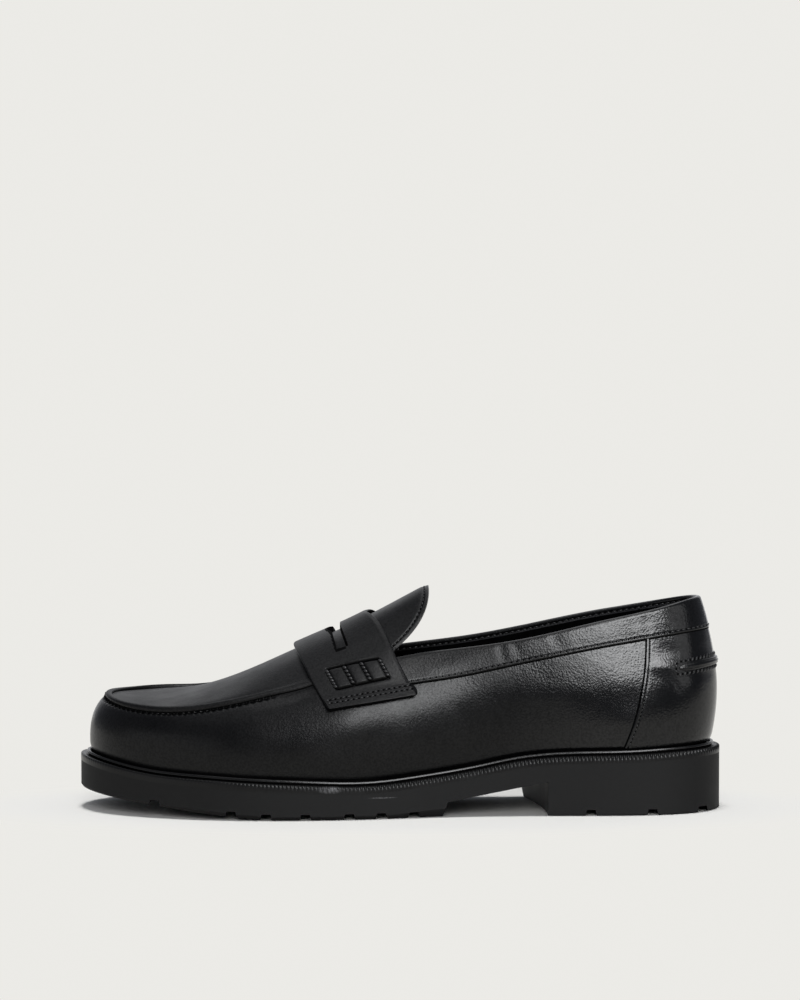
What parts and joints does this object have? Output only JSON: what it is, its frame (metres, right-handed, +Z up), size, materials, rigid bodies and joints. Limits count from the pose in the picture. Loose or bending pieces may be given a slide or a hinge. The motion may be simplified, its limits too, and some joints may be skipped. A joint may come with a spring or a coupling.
{
  "type": "loafer",
  "caption": "Black leather penny loafer for the left foot, with a raised apron seam, a slotted strap over the instep, a tongue, a heel tab and a lug rubber sole.",
  "frame": {"origin": "on the floor, under the middle of the shoe's length and width", "axes": "+X from heel to toe, +Y towards the outer side of the left foot, +Z up"},
  "size_m": [0.3, 0.1069, 0.1048],
  "materials": {
    "upper_leather": "smooth satin black",
    "insole_leather": "plain matt black",
    "welt_rubber": "ribbed matt black",
    "sole_rubber": "matt black"
  },
  "bodies": {
    "root": {"outsole": "sole_rubber", "welt": "welt_rubber", "insole": "insole_leather", "upper": "upper_leather", "tongue": "upper_leather", "strap": "upper_leather", "heel_tab": "upper_leather"}
  },
  "joints": []
}
